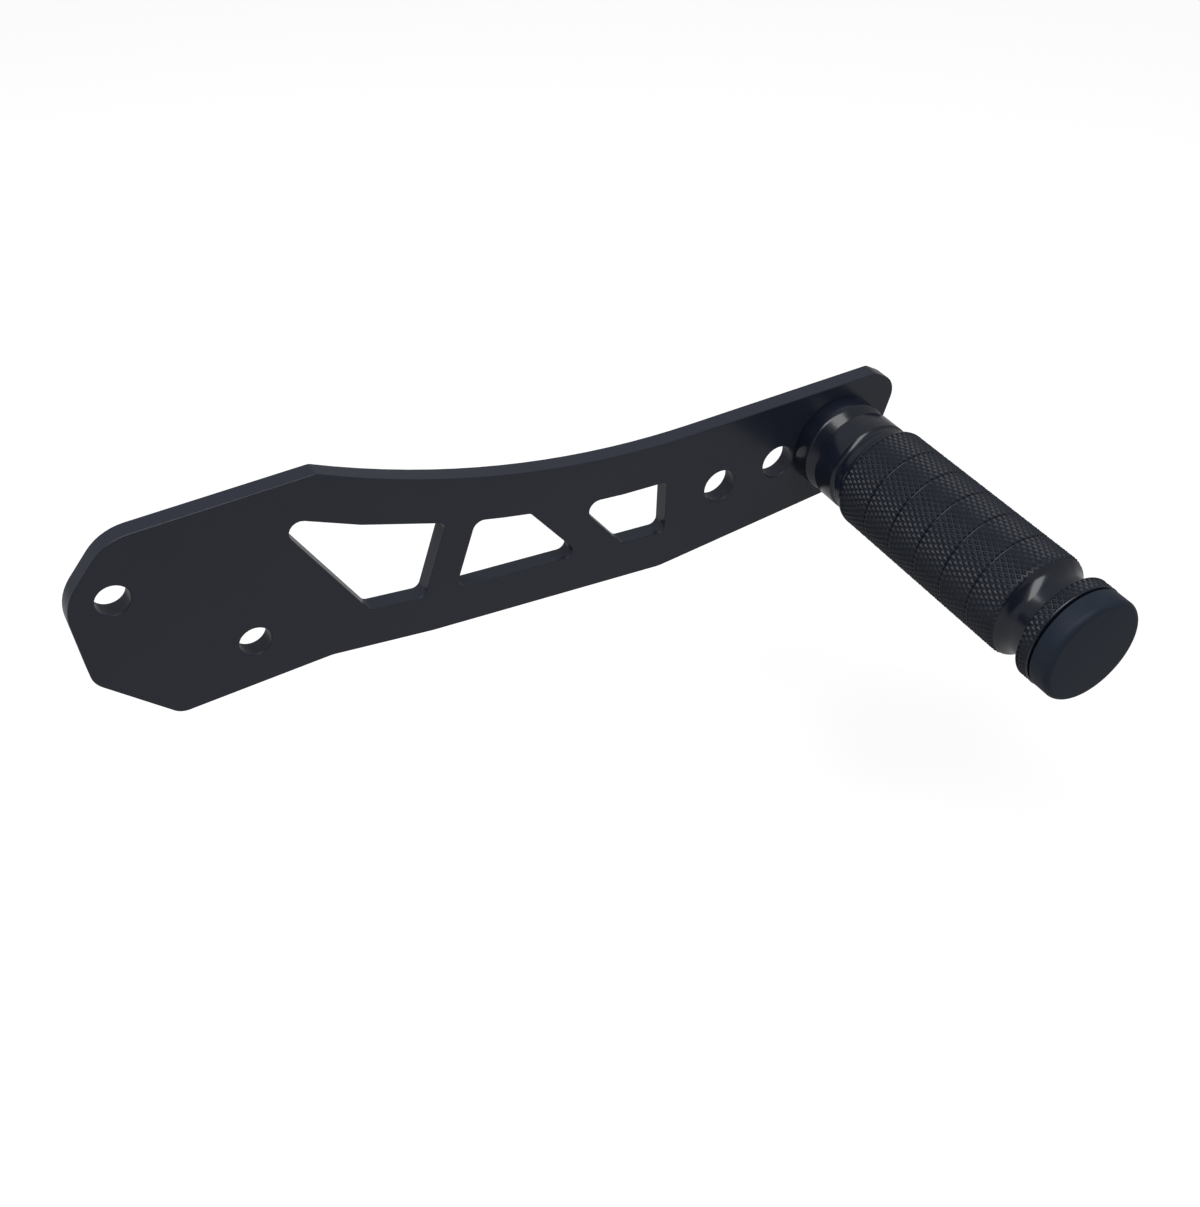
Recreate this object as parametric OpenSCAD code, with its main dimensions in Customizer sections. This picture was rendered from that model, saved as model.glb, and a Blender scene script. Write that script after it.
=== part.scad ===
// Shift lock peg: a flat arm plate that bolts to a frame, with a knurled peg
// standing square off its outer end. The peg can be moved to two spare holes.
//
// Millimetres. X runs along the arm, Z is up, and Y is the plate's normal.
// The origin is midway between the two mounting holes, on the plate's back
// face, so the plate fills y = -plate_t to 0 and the peg points along -Y.

/* [Plate] */
// Thickness of the laser-cut plate
plate_t = 5; // [4:0.5:8]
// Distance between the two mounting holes, measured along their 45 degree line
mount_spacing = 40; // [36:0.5:44]
// Diameter of the mounting holes, clearance for an 8 mm screw
mount_hole_d = 8.4; // [8:0.1:9]
// Distance along X from the mounting pair to the peg in its outer hole
reach = 191.6; // [185:0.5:200]
// Drop from the mounting pair down to the row of peg holes
drop = 26; // [24:0.5:28]
// Distance from one peg hole to the next
peg_pitch = 20; // [18:0.5:22]
// Diameter of the peg holes, clearance for a 10 mm bolt
peg_hole_d = 10.2; // [10.1:0.1:11]
// Distance from the row of peg holes to the arm's upper and lower edges
arm_half = 18.6; // [17:0.2:20]
// Radius of the long hollow curve in the upper edge
scoop_r = 243; // [235:1:255]

/* [Cut-outs] */
// Width of plate left between a cut-out and the upper edge
rim_top = 13.3; // [11:0.1:15]
// Width of plate left between a cut-out and the lower edge
rim_low = 12.3; // [10:0.1:14]
// Radius inside the corners of the cut-outs
cut_round = 2.2; // [1.5:0.1:3]

/* [Peg] */
// Radius of the knurled grip, over the crests
grip_r = 15.5; // [14.5:0.1:17]
// Length of the knurled grip between its two smooth necks
grip_len = 66.8; // [60:0.1:75]
// Number of thin rings turned round the knurled grip
ring_count = 5; // [3:1:7]
// Radius of the smooth inner neck
neck_r = 14; // [13:0.1:14.5]
// Length of the spacer collar that keeps the grip off the plate
collar_len = 8.4; // [7.5:0.1:10]
// Radius of the spacer collar
collar_r = 14.2; // [13.5:0.1:15]
// Length of the end cap that shows
cap_len = 6.2; // [5:0.1:8]

/* [Fixings] */
// Nominal diameter of the bolt that holds the peg
bolt_d = 10; // [9:0.1:10]
// Width across the flats of the bolt's head
head_af = 16; // [15:0.5:18]
// Gap all round between the bolt and what it passes through or screws into
thread_gap = 0.05; // [0.02:0.01:0.1]
// Gap all round between the cap's plug and its seat
plug_gap = 0.05; // [0.02:0.01:0.1]

/* [Hidden] */
$fn = 96;
eps = 0.5;

powder_black = [0.055, 0.06, 0.068];
turned_black = [0.05, 0.055, 0.065];
zinc_grey = [0.62, 0.63, 0.65];

// The mounting head: a slab with two clipped corners round the screw pair.
head_back = 25;
head_top = 30.6;
head_low = 27;
clip_top = 13.6;
clip_low = [16.6, 19.6];
// The knee is where the head's top edge turns down into the hollow curve.
knee = [38.8, head_top - 2.8];
// The lower edge turns down at the heel and a little less steeply after it.
heel = [32, -head_low - 1.6];
bend = [60, -head_low - 7.6];

// The arm's edges near the peg holes.
peg = [reach, -drop];
toe = peg + [-61, -arm_half - 1.5];
arm_lean = 3.65;
scoop_end = peg + [-46.6, arm_half + 2.9];
scoop_c = scoop_end + scoop_r * [sin(arm_lean), cos(arm_lean)];

function scoop_z(x, gap = 0) = scoop_c[1] - sqrt(pow(scoop_r + gap, 2) - pow(x - scoop_c[0], 2));
function on_line(a, b, x) = a[1] + (b[1] - a[1]) * (x - a[0]) / (b[0] - a[0]);
function belly_z(x) = x < bend[0] ? on_line(heel, bend, x) : on_line(bend, toe, x);

// Each cut-out has four corners, placed along X by their share of the reach:
// upper left, upper right, lower right, lower left.
cut_long = reach * [0.1305, 0.3570, 0.3100, 0.2307];
cut_middle = reach * [0.3998, 0.4812, 0.5522, 0.3565];
cut_short = reach * [0.5543, 0.7004, 0.6931, 0.6200];

// Stations along the peg, counted from the plate's front face.
seat_len = 1.2;
neck_len = 8.8;
shoulder_len = 5.4;
waist_len = 10.2;
band_len = 4.4;
grip_base = collar_len;
neck_end = grip_base + seat_len + neck_len;
knurl_start = neck_end + shoulder_len;
knurl_end = knurl_start + grip_len - shoulder_len;
band_start = knurl_end + waist_len;
grip_end = band_start + band_len;
ring_first = knurl_start + 0.3;
ring_pitch = (knurl_end + 2.1 - ring_first) / (ring_count + 1);

plug_r = 9;
plug_len = 8;
part_line = 0.6;
bolt_r = bolt_d / 2;
washer_t = 2;
spring_t = 2.4;
head_h = 6.4;
bolt_in_grip = 21;
bolt_len = washer_t + spring_t + plate_t + collar_len + bolt_in_grip;

// Points of a round corner of radius r at b, between the sides to a and c.
function unit(v) = v / norm(v);
function turn(u, w) = u[0] * w[1] - u[1] * w[0];
function round_corner(a, b, c, r, steps = 7) =
    let (u = unit(a - b), w = unit(c - b), half = acos(u * w) / 2)
    let (mid = b + unit(u + w) * r / sin(half), way = turn(u, w) > 0 ? 1 : -1)
    let (start = b + u * r / tan(half) - mid, sweep = way * (180 - 2 * half))
    [for (i = [0:steps]) let (t = -sweep * i / steps)
        mid + [start[0] * cos(t) - start[1] * sin(t), start[0] * sin(t) + start[1] * cos(t)]];

// A closed outline whose corners [x, z, r] are each rounded by their own r.
function soft_outline(c) = let (n = len(c))
    [for (i = [0:n - 1]) let (p = c[(i + n - 1) % n], q = c[i], s = c[(i + 1) % n])
        each q[2] == 0 ? [[q[0], q[1]]] : round_corner([p[0], p[1]], [q[0], q[1]], [s[0], s[1]], q[2])];

function arc(centre, r, from, to, steps) =
    [for (i = [0:steps]) let (t = from + (to - from) * i / steps) centre + r * [cos(t), sin(t)]];

plate_outline = soft_outline([
    [-head_back, -head_low + clip_low[1], 7],
    [-head_back, head_top - clip_top, 14],
    [-head_back + clip_top, head_top, 13],
    [knee[0], knee[1], 5],
    [knee[0] + 24, scoop_z(knee[0] + 24), 0],
    [scoop_end[0], scoop_end[1], 0],
    [peg[0] + 14, peg[1] + arm_half - 1, 2.5],
    [peg[0] + 22.1, peg[1] + arm_half - 6.8, 7],
    [peg[0] + 11.1, peg[1] - arm_half, 8],
    [toe[0], toe[1], 12],
    [bend[0], bend[1], 30],
    [heel[0], heel[1], 14],
    [-head_back + clip_low[0], -head_low, 5]]);

// Stand an X-Z outline up as a slab whose back face lies at y = back.
module slab(t, back = 0) {
    translate([0, back, 0]) rotate([90, 0, 0]) linear_extrude(t) children();
}

// A hole or shaft along Y. It starts at y = from and runs t towards -Y.
module along_y(p, r, t, from, fn = 48) {
    translate([p[0], from, p[1]]) rotate([90, 0, 0]) cylinder(r = r, h = t, $fn = fn);
}

// Revolve an r-s profile about the peg's axis, with s growing outwards.
module turned(from = -plate_t) {
    translate([peg[0], from, peg[1]]) rotate([90, 0, 0]) rotate_extrude() children();
}

// The top of a cut-out follows the hollow curve, and its foot the lower edge.
module cut_out(x) {
    middle = (x[0] + x[1]) / 2;
    polygon(soft_outline([
        [x[0], scoop_z(x[0], rim_top), cut_round * 1.35],
        [middle, scoop_z(middle, rim_top), 0],
        [x[1], scoop_z(x[1], rim_top), cut_round * 0.8],
        [x[2], belly_z(x[2]) + rim_low, cut_round],
        [x[3], belly_z(x[3]) + rim_low, cut_round * 0.9]]));
}

module plate() {
    color(powder_black) difference() {
        slab(plate_t) difference() {
            polygon(plate_outline);
            cut_out(cut_long);
            cut_out(cut_middle);
            cut_out(cut_short);
        }
        // The hollow curve of the upper edge.
        along_y(scoop_c, scoop_r, plate_t + 2 * eps, eps, 360);
        // The two mounting holes, on a falling 45 degree line.
        for (side = [-1, 1])
            along_y(side * mount_spacing / 2 * [cos(45), -sin(45)], mount_hole_d / 2, plate_t + 2 * eps, eps);
        // Three places for the peg.
        for (i = [0:2])
            along_y(peg - [i * peg_pitch, 0], peg_hole_d / 2, plate_t + 2 * eps, eps);
    }
}

module spacer_collar() {
    edge = 1.4;
    flank_len = 3.1;
    bore = bolt_r + 0.3;
    color(turned_black) turned() polygon(concat(
        [[bore, 0], [collar_r - 0.4, 0], [collar_r, 0.4]],
        // Past the round edge, the flank falls straight to the grip's seat.
        arc([collar_r - edge, collar_len - flank_len], edge, 0, 35, 6),
        [[neck_r - 1.6, collar_len], [bore, collar_len]]));
}

module peg_grip() {
    tap_r = bolt_r + thread_gap;
    tap_end = grip_base + bolt_in_grip + 4;
    seat_r = neck_r - 1.6;
    plug_seat = grip_end - plug_len - 1;
    roll_r = 2.6;
    roll_a = 52;
    dip_r = 4.6;
    dip_c = [grip_r - roll_r, knurl_end] + (roll_r + dip_r) * [cos(roll_a), sin(roll_a)];
    waist_r = dip_c[0] - dip_r;
    foot_r = 0.8;
    ring_w = 0.8;
    ring_d = 0.45;
    hollow_r = 1.8;
    hollow_d = 0.6;
    hollow_a = acos(1 - hollow_d / hollow_r);
    lead_r = (grip_r - neck_r) * 1.3;
    lead_a = acos(1 - 1 / 1.3);
    color(turned_black) turned() polygon(concat(
        // The base seats on the collar through a narrow dark groove.
        [[tap_r, grip_base], [seat_r, grip_base], [seat_r, grip_base + seat_len]],
        [[neck_r - 0.4, grip_base + seat_len], [neck_r, grip_base + seat_len + 0.4]],
        // A shallow hollow rings the neck, and a round edge leads up to the knurl.
        arc([neck_r + hollow_r - hollow_d, neck_end], hollow_r, 180 + hollow_a, 180 - hollow_a, 6),
        arc([grip_r - lead_r, knurl_start], lead_r, -lead_a, 0, 8),
        // The thin rings that divide the knurl into bands.
        [for (i = [1:ring_count]) let (s = ring_first + i * ring_pitch)
            each [[grip_r, s - ring_w / 2], [grip_r - ring_d, s], [grip_r, s + ring_w / 2]]],
        // The shoulder rolls over into the narrow waist, then the short knurled band.
        arc([grip_r - roll_r, knurl_end], roll_r, 0, roll_a, 6),
        arc(dip_c, dip_r, 180 + roll_a - 8, 180, 10),
        arc([waist_r + foot_r, band_start - foot_r], foot_r, 180, 90, 4),
        [[grip_r - 0.6, band_start], [grip_r - 0.1, band_start + 0.5]],
        [[grip_r - 0.1, grip_end - 0.4], [grip_r - 0.5, grip_end]],
        // The blind seat for the cap's plug.
        [[plug_r + plug_gap, grip_end], [plug_r + plug_gap, plug_seat], [0, plug_seat]],
        [[0, tap_end + tap_r * 0.6], [tap_r, tap_end]]));
}

module end_cap() {
    face_r = grip_r - 0.3;
    edge = 1.7;
    face = grip_end + part_line + cap_len;
    color(turned_black) turned() polygon(concat(
        [[0, grip_end - plug_len], [plug_r - 0.6, grip_end - plug_len], [plug_r, grip_end - plug_len + 0.6]],
        [[plug_r, grip_end], [face_r - 1.6, grip_end], [face_r - 1.6, grip_end + part_line]],
        [[face_r - 0.3, grip_end + part_line], [face_r, grip_end + part_line + 0.3]],
        arc([face_r - edge, face - edge], edge, 0, 90, 8),
        [[0, face]]));
}

module peg_bolt() {
    back = washer_t + spring_t;
    color(zinc_grey) {
        // The head, with its corners taken off by a shallow cone.
        intersection() {
            along_y(peg, head_af / 2 / cos(30), head_h, back + head_h, 6);
            turned(back) scale([1, -1]) polygon([[0, 0], [head_af, 0], [head_af, head_h - 2.6],
                [head_af / 2 - 0.6, head_h], [0, head_h]]);
        }
        turned(back) polygon([[0, -eps], [bolt_r - 0.2, -eps], [bolt_r - 0.2, 0],
            [bolt_r, 0.2], [bolt_r, bolt_len - 1], [bolt_r - 1, bolt_len], [0, bolt_len]]);
    }
}

// A split ring: the slit is cut on a slant through one side.
module spring_washer() {
    color(zinc_grey) difference() {
        turned(washer_t + spring_t) polygon([[bolt_r + 0.3, 0], [head_af / 2 + 0.8, 0],
            [head_af / 2 + 0.8, spring_t], [bolt_r + 0.3, spring_t]]);
        translate([peg[0], washer_t + spring_t / 2, peg[1] + head_af / 2])
            rotate([0, 0, 30]) cube([1.2, spring_t * 2, head_af / 2], center = true);
    }
}

module plain_washer() {
    color(zinc_grey) turned(washer_t) polygon([[bolt_r + 0.25, 0], [bolt_r * 2, 0],
        [bolt_r * 2, washer_t - 0.3], [bolt_r * 2 - 0.3, washer_t], [bolt_r + 0.25, washer_t]]);
}

plate();
spacer_collar();
peg_grip();
end_cap();
peg_bolt();
spring_washer();
plain_washer();
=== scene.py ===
"""Shift lock peg: a satin black arm plate with a turned and knurled peg.

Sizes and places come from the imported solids, in metres. The plate and the
turned pieces are made again here, with softened edges and a real knurl.
"""

from math import acos, asin, cos, degrees, pi, radians, sin

import bmesh
import bpy
from mathutils import Matrix, Vector


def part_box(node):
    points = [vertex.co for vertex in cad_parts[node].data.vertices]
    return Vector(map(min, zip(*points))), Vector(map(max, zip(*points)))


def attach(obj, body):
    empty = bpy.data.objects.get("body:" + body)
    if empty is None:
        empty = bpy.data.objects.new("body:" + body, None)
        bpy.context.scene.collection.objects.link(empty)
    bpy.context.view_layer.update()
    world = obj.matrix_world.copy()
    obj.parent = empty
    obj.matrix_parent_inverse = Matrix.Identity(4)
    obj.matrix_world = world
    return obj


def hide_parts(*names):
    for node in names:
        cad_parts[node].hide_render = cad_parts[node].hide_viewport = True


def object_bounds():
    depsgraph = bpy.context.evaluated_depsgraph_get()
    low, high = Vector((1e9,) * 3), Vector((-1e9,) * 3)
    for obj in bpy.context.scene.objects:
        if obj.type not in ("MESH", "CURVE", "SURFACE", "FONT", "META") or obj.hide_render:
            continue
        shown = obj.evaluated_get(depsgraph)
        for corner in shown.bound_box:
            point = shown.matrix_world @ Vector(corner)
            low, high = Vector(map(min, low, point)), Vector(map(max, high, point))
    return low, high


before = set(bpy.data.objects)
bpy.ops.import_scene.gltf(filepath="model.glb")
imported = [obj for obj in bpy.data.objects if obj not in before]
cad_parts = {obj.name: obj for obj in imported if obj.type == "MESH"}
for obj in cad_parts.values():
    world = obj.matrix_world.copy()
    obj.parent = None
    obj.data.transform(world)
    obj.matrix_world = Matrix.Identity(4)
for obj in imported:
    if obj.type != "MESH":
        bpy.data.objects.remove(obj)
cad_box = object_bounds()
part_middle = (cad_box[0] + cad_box[1]) / 2

MM = 0.001
WELD = 1e-6


class Shade:
    """One output of a shader node. Arithmetic on it adds Math nodes."""

    def __init__(self, nodes, socket):
        self.nodes, self.socket = nodes, socket

    def math(self, operation, first, second):
        return self.nodes.add("Math", {"operation": operation}, {0: first, 1: second})

    def __add__(self, other):
        return self.math("ADD", self, other)

    def __radd__(self, other):
        return self.math("ADD", other, self)

    def __sub__(self, other):
        return self.math("SUBTRACT", self, other)

    def __rsub__(self, other):
        return self.math("SUBTRACT", other, self)

    def __mul__(self, other):
        return self.math("MULTIPLY", self, other)

    def __rmul__(self, other):
        return self.math("MULTIPLY", other, self)


class Nodes:
    """The node tree of a material or of the world, filled by expressions."""

    def __init__(self, owner):
        owner.use_nodes = True
        self.tree = owner.node_tree
        self.tree.nodes.clear()

    def add(self, kind, settings=None, inputs=None, output=0):
        """Add a node: its settings first, then the values or links of its sockets."""
        node = self.tree.nodes.new("ShaderNode" + kind)
        for name, value in (settings or {}).items():
            setattr(node, name, value)
        for name, value in (inputs or {}).items():
            if isinstance(value, Shade):
                self.tree.links.new(value.socket, node.inputs[name])
            else:
                node.inputs[name].default_value = value
        return Shade(self, node.outputs[output]) if node.outputs else None

    def noise(self, place, scale, detail):
        """Soft noise through the piece, at about that many lumps to the metre."""
        return self.add("TexNoise", inputs={"Vector": place, "Scale": scale, "Detail": detail})

    def blend(self, share, first, second):
        """Mix two colours, which are a Mix node's inputs 6 and 7 and its output 2."""
        colours = {0: share, 6: first, 7: second}
        return self.add("Mix", {"data_type": "RGBA"}, colours, output=2)


def rgb(red, green, blue):
    """An opaque colour, in linear light."""
    return (red, green, blue, 1)


# The peg's axis and the plate's front face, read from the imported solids.
plate_low, plate_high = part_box("plate")
collar_low, collar_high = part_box("spacer_collar")
grip_low, grip_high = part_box("peg_grip")
cap_low, cap_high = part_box("end_cap")
axis_x = (grip_low.x + grip_high.x) / 2
axis_z = (grip_low.z + grip_high.z) / 2
plate_front = plate_low.y


def station_of(y):
    """How far a place stands out from the plate's front face, in millimetres."""
    return (plate_front - y) / MM


# The peg's radii and stations are in millimetres, with stations counted out from
# the plate, and its angles are in degrees.
collar_r = (collar_high.x - collar_low.x) / 2 / MM
grip_r = (grip_high.x - grip_low.x) / 2 / MM
cap_r = (cap_high.x - cap_low.x) / 2 / MM
collar_len = station_of(collar_low.y)
grip_end = station_of(grip_low.y)
cap_face = station_of(cap_low.y)

# The grip's own lengths and radii, as the turned solid has them.
seat_len = 1.2
neck_len = 8.8
shoulder_len = 5.4
waist_len = 10.2
band_len = 4.4
neck_r = 14
seat_r = neck_r - 1.6
band_r = grip_r - 0.1
plug_r = 9
plug_len = 8
neck_end = collar_len + seat_len + neck_len
knurl_start = neck_end + shoulder_len
band_start = grip_end - band_len
knurl_end = band_start - waist_len

# Past the knurl the grip rolls inwards by roll_a, then dips into the waist.
roll_r = 2.6
roll_a = 52
dip_r = 4.6

# How far the turned corners are broken, and the rounder one before the short band.
edge_break = 0.4
band_edge = 0.5

# Five thin rings part the knurl, each a narrow slot with a bead beside it.
ring_count = 5
ring_lead = 0.3
ring_tail = 2.1
slot_w = 0.25
slot_depth = 0.4
slot_lean = 0.03
bead_w = 0.4
bead_sink = 0.12
bead_a = 80
ring_first = knurl_start + ring_lead
ring_pitch = (knurl_end + ring_tail - ring_first) / (ring_count + 1)
rings = [ring_first + (i + 1) * ring_pitch for i in range(ring_count)]

# The knurl's diamonds lie on a helix of about 32 degrees. Their shares are of the
# full width between the helices: the flat on the crest, and the foot on the floor.
knurl_starts = 57
knurl_depth = 0.36
knurl_lead = 0.1
knurl_over_roll = 1.5
knurl_slope = 1.62
crest_share = 0.16
foot_share = 0.96
foot_sink = 0.06
knurl_half_w = pi * grip_r / knurl_starts
knurl_half_l = knurl_half_w * knurl_slope

# The stretches of knurl, as (start, end) stations: those between the rings on the
# long body, and the short band at the grip's outer end.
band_starts = [knurl_start + knurl_lead] + [s + slot_w / 2 + bead_w for s in rings]
band_ends = [s - slot_w / 2 for s in rings] + [knurl_end + knurl_over_roll]
body_bands = list(zip(band_starts, band_ends))
end_band = (band_start + band_edge, grip_end - edge_break)
knurl_bands = body_bands + [end_band]


def arc(centre, radius, start, end, steps):
    """Points (radius, station) along a circular arc, with angles in degrees."""
    turns = [radians(start + (end - start) * i / steps) for i in range(steps + 1)]
    return [(centre[0] + radius * cos(t), centre[1] + radius * sin(t)) for t in turns]


def on_peg(radius, station, turn):
    """The place at that radius, station and angle round the peg's axis."""
    return Vector((axis_x + radius * MM * cos(turn), plate_front - station * MM,
                   axis_z + radius * MM * sin(turn)))


def finish_mesh(name, bm, crease):
    """Turn a bmesh into a shown piece, smooth up to the crease angle in degrees."""
    bmesh.ops.recalc_face_normals(bm, faces=bm.faces)
    mesh = bpy.data.meshes.new(name)
    bm.to_mesh(mesh)
    bm.free()
    mesh.shade_smooth()
    mesh.set_sharp_from_angle(angle=radians(crease))
    piece = bpy.data.objects.new(name, mesh)
    bpy.context.scene.collection.objects.link(piece)
    return piece


def lathe(profile, sides=180):
    """Revolve a closed profile of (radius, station) points round the peg's axis."""
    bm = bmesh.new()
    turns = [2 * pi * i / sides for i in range(sides)]
    hoops = []
    for radius, station in profile:
        if radius == 0:
            hoops.append([bm.verts.new(on_peg(0, station, 0))] * sides)
        else:
            hoops.append([bm.verts.new(on_peg(radius, station, turn)) for turn in turns])
    for hoop, following in zip(hoops, hoops[1:] + hoops[:1]):
        for i in range(sides):
            j = (i + 1) % sides
            corners = list(dict.fromkeys([hoop[i], hoop[j], following[j], following[i]]))
            if len(corners) > 2:
                bm.faces.new(corners)
    return bm


def crest_r(station):
    """Radius over the knurl's crests at a station."""
    if station < knurl_end:
        return grip_r
    if station < knurl_end + roll_r:
        return grip_r - roll_r + (roll_r ** 2 - (station - knurl_end) ** 2) ** 0.5
    return band_r


def diamond(bm, turn, station, half_l, first, last):
    """One crest of the knurl, cut to a triangle in a band's first and last rows."""
    outline = [(-1, 0), (0, -1), (1, 0), (0, 1)]
    if first:
        outline.remove((0, -1))
    if last:
        outline.remove((0, 1))
    levels = []
    for share, depth in ((foot_share, knurl_depth + foot_sink), (crest_share, 0)):
        level = []
        for across, along in outline:
            s = station + along * share * half_l
            a = turn + across * share * knurl_half_w / grip_r
            level.append(bm.verts.new(on_peg(crest_r(s) - depth, s, a)))
        levels.append(level)
    foot, crest = levels
    bm.faces.new(foot)
    bm.faces.new(crest[::-1])
    for i in range(len(foot)):
        j = (i + 1) % len(foot)
        bm.faces.new([foot[j], foot[i], crest[i], crest[j]])


def ring_section(station):
    """One thin ring's section from a station on: its slot, then its bead."""
    slot_r = grip_r - slot_depth
    bead_c = (grip_r - bead_sink - bead_w / 2, station + slot_w + bead_w / 2)
    slot = [(slot_r, station + slot_lean), (slot_r, station + slot_w - slot_lean)]
    return slot + arc(bead_c, bead_w / 2, -bead_a, bead_a, 8)


def grip_profile():
    """The grip's section, with the floor of the knurl where the knurl goes."""
    tap_r, tap_len, drill_point = 5.05, 25, 0.6
    plug_play, plug_room = 0.05, 1
    hollow_r, hollow_d = 1.8, 0.6
    lead_share = 1.3
    roll_step, roll_gap, dip_gap = 0.25, 0.1, 2
    foot_r = 0.8
    floor_lean = 0.02

    # Bolt end, neck and the shallow hollow behind it, then the lead up to the knurl.
    seat = collar_len + seat_len
    points = [(tap_r, collar_len), (seat_r, collar_len), (seat_r, seat)]
    points += arc((neck_r - edge_break, seat + edge_break), edge_break, -90, 0, 4)
    hollow_a = degrees(acos(1 - hollow_d / hollow_r))
    hollow_c = (neck_r + hollow_r - hollow_d, neck_end)
    points += arc(hollow_c, hollow_r, 180 + hollow_a, 180 - hollow_a, 10)
    lead_r = (grip_r - neck_r) * lead_share
    lead_a = degrees(acos(1 - 1 / lead_share))
    points += arc((grip_r - lead_r, knurl_start), lead_r, -lead_a, 0, 12)

    # The knurled body with its rings. Its last stretch follows the roll.
    for start, end in body_bands:
        on_roll = end > knurl_end
        bends = [knurl_end + roll_step * i for i in range(6)] if on_roll else []
        points += [(crest_r(s) - knurl_depth, s) for s in [start] + bends + [end]]
        if not on_roll:
            points += ring_section(end)

    # Roll, dip, waist and the corner where the short band rises.
    roll_c = (grip_r - roll_r, knurl_end)
    roll_from = degrees(asin((knurl_over_roll + roll_gap) / roll_r))
    points += arc(roll_c, roll_r, roll_from, roll_a, 6)
    dip_c = (roll_c[0] + (roll_r + dip_r) * cos(radians(roll_a)),
             roll_c[1] + (roll_r + dip_r) * sin(radians(roll_a)))
    points += arc(dip_c, dip_r, 180 + roll_a - dip_gap, 180, 24)
    waist_r = dip_c[0] - dip_r
    points += arc((waist_r + foot_r, band_start - foot_r), foot_r, 180, 90, 6)

    # The short band, then back inside: the cap's seat and the tapped hole.
    points += arc((band_r - band_edge, band_start + band_edge), band_edge, -90, 0, 5)
    start, end = end_band
    floor_r = band_r - knurl_depth
    points += [(floor_r, start + floor_lean), (floor_r, end - floor_lean)]
    points += arc((band_r - edge_break, grip_end - edge_break), edge_break, 0, 90, 5)
    plug_seat = grip_end - plug_len - plug_room
    points += [(plug_r + plug_play, grip_end), (plug_r + plug_play, plug_seat), (0, plug_seat)]
    tap_end = collar_len + tap_len
    points += [(0, tap_end + tap_r * drill_point), (tap_r, tap_end)]
    return points


def knurled_grip():
    """The turned grip, with every diamond of its knurl standing on it."""
    bm = lathe(grip_profile())
    for start, end in knurl_bands:
        rows = max(2, round((end - start) / knurl_half_l))
        half_l = (end - start) / rows
        for row in range(rows + 1):
            for column in range(knurl_starts):
                turn = 2 * pi * (column + row % 2 / 2) / knurl_starts
                diamond(bm, turn, start + row * half_l, half_l, row == 0, row == rows)
    for face in bm.faces:
        station = station_of(face.calc_center_median().y)
        if any(start < station < end for start, end in knurl_bands):
            face.material_index = 1
    return finish_mesh("knurled_grip", bm, crease=24)


def turned_collar():
    """The spacer collar, rounded over where it meets the neck."""
    bore_r = 5.3
    flank_r, flank_len, flank_a = 1.4, 3.1, 35
    profile = [(bore_r, 0)]
    profile += arc((collar_r - edge_break, edge_break), edge_break, -90, 0, 4)
    profile += arc((collar_r - flank_r, collar_len - flank_len), flank_r, 0, flank_a, 12)
    profile += [(seat_r, collar_len), (bore_r, collar_len)]
    return finish_mesh("turned_collar", lathe(profile), crease=40)


def turned_cap():
    """The end cap with its plug, and the narrow groove that parts it from the grip."""
    chamfer, groove_w, groove_d = 0.6, 0.6, 1.6
    back_r, face_r = 0.3, 1.7
    back = grip_end + groove_w
    plug_end = grip_end - plug_len
    groove_r = cap_r - groove_d
    profile = [(0, plug_end), (plug_r - chamfer, plug_end), (plug_r, plug_end + chamfer)]
    profile += [(plug_r, grip_end), (groove_r, grip_end), (groove_r, back)]
    profile += arc((cap_r - back_r, back + back_r), back_r, -90, 0, 4)
    profile += arc((cap_r - face_r, cap_face - face_r), face_r, 0, 90, 16)
    profile += [(0, cap_face)]
    return finish_mesh("turned_cap", lathe(profile), crease=40)


def rim_loops(mesh):
    """The closed outlines of the plate's front face, as lists of (x, z)."""
    bm = bmesh.new()
    bm.from_mesh(mesh)
    bmesh.ops.remove_doubles(bm, verts=bm.verts, dist=WELD)
    rim = {}
    for edge in bm.edges:
        fronts = [face.normal.y < -0.9 for face in edge.link_faces]
        if sorted(fronts) == [False, True]:
            first, second = edge.verts
            rim.setdefault(first.index, []).append(second.index)
            rim.setdefault(second.index, []).append(first.index)
    bm.verts.ensure_lookup_table()
    loops, used = [], set()
    for start in sorted(rim):
        if start in used:
            continue
        loop, here, before = [], start, None
        while here not in used:
            used.add(here)
            loop.append((bm.verts[here].co.x, bm.verts[here].co.z))
            onward = [v for v in rim[here] if v != before]
            before, here = here, onward[0]
        loops.append(loop)
    bm.free()
    return loops


def turning(loop):
    """Twice the signed area inside a loop."""
    return sum(a[0] * b[1] - b[0] * a[1] for a, b in zip(loop, loop[1:] + loop[:1]))


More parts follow.
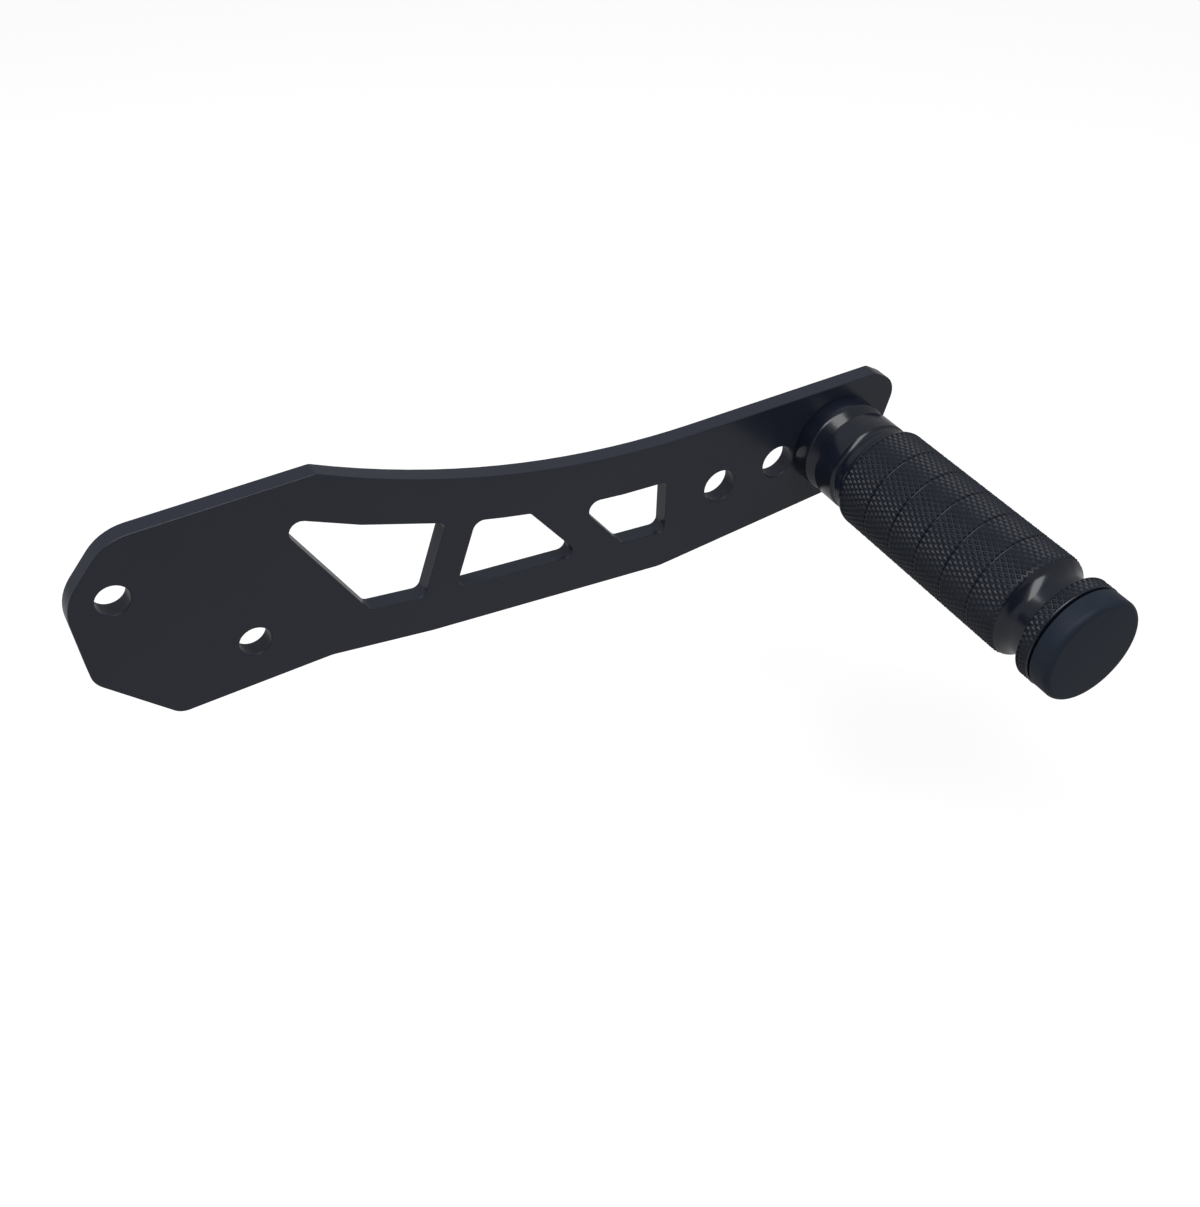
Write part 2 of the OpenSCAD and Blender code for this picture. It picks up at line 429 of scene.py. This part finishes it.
def coated_plate():
    """The plate, with its cut edges softened all round as the coating leaves them."""
    edge_round = 0.25 * MM
    loops = rim_loops(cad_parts["plate"].data)
    outer = max(loops, key=lambda loop: abs(turning(loop)))
    curve = bpy.data.curves.new("coated_plate", "CURVE")
    curve.dimensions = "2D"
    curve.fill_mode = "BOTH"
    curve.extrude = (plate_high.y - plate_low.y) / 2 - edge_round
    curve.bevel_depth = edge_round
    curve.bevel_resolution = 4
    curve.offset = -edge_round
    for loop in loops:
        if (turning(loop) > 0) != (loop is outer):
            loop.reverse()
        spline = curve.splines.new("POLY")
        spline.points.add(len(loop) - 1)
        spline.use_cyclic_u = True
        for point, (x, z) in zip(spline.points, loop):
            point.co = (x, z, 0, 1)
    outline = bpy.data.objects.new("plate_outline", curve)
    bpy.context.scene.collection.objects.link(outline)
    bpy.context.view_layer.update()
    mesh = bpy.data.meshes.new_from_object(outline)
    bpy.data.objects.remove(outline)

    # The curve lies flat, so it is stood up and moved into the plate's thickness.
    mid_y = (plate_high.y + plate_low.y) / 2
    mesh.transform(Matrix.Translation((0, mid_y, 0)) @ Matrix.Rotation(pi / 2, 4, "X"))
    bm = bmesh.new()
    bm.from_mesh(mesh)
    bmesh.ops.remove_doubles(bm, verts=bm.verts, dist=WELD)
    piece = finish_mesh("coated_plate", bm, crease=50)
    piece.modifiers.new("even_faces", "WEIGHTED_NORMAL").keep_sharp = True
    return piece


def powder_coat():
    """Satin black powder coat: a faint orange peel and a fine grain."""
    material = bpy.data.materials.new("satin_powder_coat")
    nodes = Nodes(material)
    place = nodes.add("TexCoord", output="Object")
    peel = nodes.noise(place, 900, 2)
    grain = nodes.noise(place, 5200, 1)
    cloud = nodes.noise(place, 55, 2)
    colour = nodes.blend(cloud * 0.6 + grain * 0.4,
                         rgb(0.0130, 0.0165, 0.0285), rgb(0.0185, 0.0225, 0.0360))
    bump = nodes.add("Bump", inputs={
        "Height": peel * 0.7 + grain * 0.3, "Strength": 0.12, "Distance": 0.00012})
    surface = nodes.add("BsdfPrincipled", inputs={
        "Base Color": colour, "Roughness": 0.2 + cloud * 0.06 + grain * 0.03,
        "Specular IOR Level": 0.42, "Normal": bump})
    nodes.add("OutputMaterial", inputs={"Surface": surface})
    return material


def turned_black(name, dark, light, roughness, shine, tool_marks):
    """Black anodised metal, with fine rings left by the lathe tool."""
    material = bpy.data.materials.new(name)
    nodes = Nodes(material)
    place = nodes.add("TexCoord", output="Object")
    centred = nodes.add("VectorMath", {"operation": "SUBTRACT"},
                        {0: place, 1: (axis_x, 0, axis_z)})
    flat = nodes.add("VectorMath", {"operation": "MULTIPLY"}, {0: centred, 1: (1, 0, 1)})
    radius = nodes.add("VectorMath", {"operation": "LENGTH"}, {0: flat}, output="Value")
    along = nodes.add("SeparateXYZ", inputs={0: centred}, output="Y")
    marks = nodes.add("TexNoise", {"noise_dimensions": "1D"},
                      {"W": (radius - along) * 1000, "Scale": 3.2, "Detail": 3})
    mottle = nodes.noise(place, 260, 2)
    colour = nodes.blend(mottle, dark, light)
    bump = nodes.add("Bump", inputs={
        "Height": marks, "Strength": tool_marks, "Distance": 0.00005})
    surface = nodes.add("BsdfPrincipled", inputs={
        "Base Color": colour, "Roughness": roughness + marks * 0.05 + mottle * 0.05,
        "Specular IOR Level": shine, "Normal": bump})
    nodes.add("OutputMaterial", inputs={"Surface": surface})
    return material


def zinc_plate():
    """Bright zinc plating with a faint cloudy passivation."""
    material = bpy.data.materials.new("zinc_plating")
    nodes = Nodes(material)
    place = nodes.add("TexCoord", output="Object")
    cloud = nodes.noise(place, 420, 4)
    scratch = nodes.noise(place, 3000, 2)
    colour = nodes.blend(cloud, rgb(0.50, 0.52, 0.56), rgb(0.68, 0.67, 0.64))
    bump = nodes.add("Bump", inputs={
        "Height": scratch, "Strength": 0.1, "Distance": 0.00005})
    surface = nodes.add("BsdfPrincipled", inputs={
        "Base Color": colour, "Metallic": 1.0, "Roughness": 0.24 + cloud * 0.18,
        "Normal": bump})
    nodes.add("OutputMaterial", inputs={"Surface": surface})
    return material


def wear(piece, slot, *finishes):
    """Give a piece its finishes. The slot argument is not used."""
    materials = piece.data.materials
    for place, finish in enumerate(finishes):
        if place < len(materials):
            materials[place] = finish
        else:
            materials.append(finish)


satin = powder_coat()
bright_black = turned_black(
    "bright_anodised", rgb(0.0055, 0.0075, 0.0150), rgb(0.0100, 0.0130, 0.0225),
    roughness=0.14, shine=0.58, tool_marks=0.03)
satin_black = turned_black(
    "satin_anodised", rgb(0.0145, 0.0205, 0.0330), rgb(0.0195, 0.0265, 0.0400),
    roughness=0.42, shine=0.12, tool_marks=0.06)
knurl_black = turned_black(
    "knurled_anodised", rgb(0.0055, 0.0082, 0.0160), rgb(0.0100, 0.0140, 0.0255),
    roughness=0.4, shine=0.38, tool_marks=0.03)
zinc = zinc_plate()

plate = coated_plate()
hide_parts("plate")
collar = turned_collar()
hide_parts("spacer_collar")
grip = knurled_grip()
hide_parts("peg_grip")
cap = turned_cap()
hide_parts("end_cap")
wear(plate, "powder_coat", satin)
wear(collar, "black_anodised", bright_black)
wear(grip, "black_anodised", bright_black, knurl_black)
wear(cap, "black_anodised", satin_black)
for piece in (plate, collar, grip, cap):
    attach(piece, "root")
for node in ("peg_bolt", "spring_washer", "plain_washer"):
    wear(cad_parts[node], "zinc_plate", zinc)


def facing_part(direction, distance):
    """A place at that distance from the middle of the part, and the turn to face it."""
    toward = Vector(direction).normalized()
    return part_middle + toward * distance, toward.to_track_quat("Z", "Y")


def flat_card(name, place, turn, size):
    """A flat rectangle of that width and depth, about its own middle."""
    half_w, half_d = size[0] / 2, size[1] / 2
    corners = [(-half_w, -half_d), (half_w, -half_d), (half_w, half_d), (-half_w, half_d)]
    bm = bmesh.new()
    bm.faces.new([bm.verts.new(place + turn @ Vector((x, y, 0))) for x, y in corners])
    return finish_mesh(name, bm, crease=30)


def pale_floor():
    """A pale floor below the part. It looks white and keeps the soft shadow."""
    drop = 0.09
    place = Vector((0, 0, cad_box[0].z - drop))
    floor = flat_card("floor", place, Matrix.Identity(3), (8, 8))
    material = bpy.data.materials.new("pale_floor")
    nodes = Nodes(material)
    seen = nodes.add("LightPath", output="Is Camera Ray")
    glossy = nodes.add("LightPath", output="Is Glossy Ray")
    matt = nodes.add("BsdfDiffuse", inputs={"Color": rgb(0.4, 0.4, 0.4)})
    glow = nodes.add("Emission", inputs={
        "Color": rgb(1, 1, 1), "Strength": 0.68 * seen + 0.02 * glossy})
    surface = nodes.add("AddShader", inputs={0: matt, 1: glow})
    nodes.add("OutputMaterial", inputs={"Surface": surface})
    floor.data.materials.append(material)


def studio_world():
    """White to the eye, dimmer in reflections, and a plain even light on the part."""
    ambient, in_gloss = 0.48, 0.32
    world = bpy.data.worlds.new("studio")
    bpy.context.scene.world = world
    nodes = Nodes(world)
    camera = nodes.add("LightPath", output="Is Camera Ray")
    glossy = nodes.add("LightPath", output="Is Glossy Ray")
    through = nodes.add("LightPath", output="Is Transmission Ray")
    strength = ambient + (camera + through) * (1 - ambient) + glossy * (in_gloss - ambient)
    back = nodes.add("Background", inputs={"Color": rgb(1, 1, 1), "Strength": strength})
    nodes.add("OutputWorld", inputs={"Surface": back})


def softbox(name, direction, distance, size, power):
    """An area lamp that faces the middle of the part."""
    data = bpy.data.lights.new(name, "AREA")
    data.shape = "RECTANGLE"
    data.size, data.size_y = size
    data.energy = power
    lamp = bpy.data.objects.new(name, data)
    bpy.context.scene.collection.objects.link(lamp)
    lamp.location, turn = facing_part(direction, distance)
    lamp.rotation_euler = turn.to_euler()


def dark_flag(name, direction, distance, size):
    """A dark card that only reflections see. It keeps one side of the peg dark."""
    place, turn = facing_part(direction, distance)
    card = flat_card(name, place, turn.to_matrix(), size)
    card.visible_camera = card.visible_diffuse = card.visible_shadow = False
    material = bpy.data.materials.new("dark_card")
    nodes = Nodes(material)
    surface = nodes.add("BsdfDiffuse", inputs={"Color": rgb(0.03, 0.03, 0.035)})
    nodes.add("OutputMaterial", inputs={"Surface": surface})
    card.data.materials.append(material)


def studio_camera():
    """The photograph's camera: its place, its aim and its lens."""
    place = Vector((-0.02981, -0.28003, 0.23650))
    right = Vector((0.864985, -0.498794, -0.054816))
    down = Vector((-0.375485, -0.570910, -0.730118))
    data = bpy.data.cameras.new("camera")
    data.lens = 44.06
    data.sensor_width = 36
    data.sensor_fit = "HORIZONTAL"
    data.clip_start, data.clip_end = 0.01, 50
    camera = bpy.data.objects.new("camera", data)
    bpy.context.scene.collection.objects.link(camera)
    up = -down
    turn = Matrix((right, up, right.cross(up))).transposed().to_4x4()
    camera.matrix_world = Matrix.Translation(place) @ turn
    bpy.context.scene.camera = camera


pale_floor()
studio_world()
softbox("overhead", (-0.13, -0.1, 1.0), distance=0.9, size=(1.4, 0.46), power=7.6)
dark_flag("camera_side", (-0.55, -0.72, 0.42), distance=0.9, size=(1.1, 0.9))
studio_camera()
bpy.context.scene.view_settings.view_transform = "Standard"
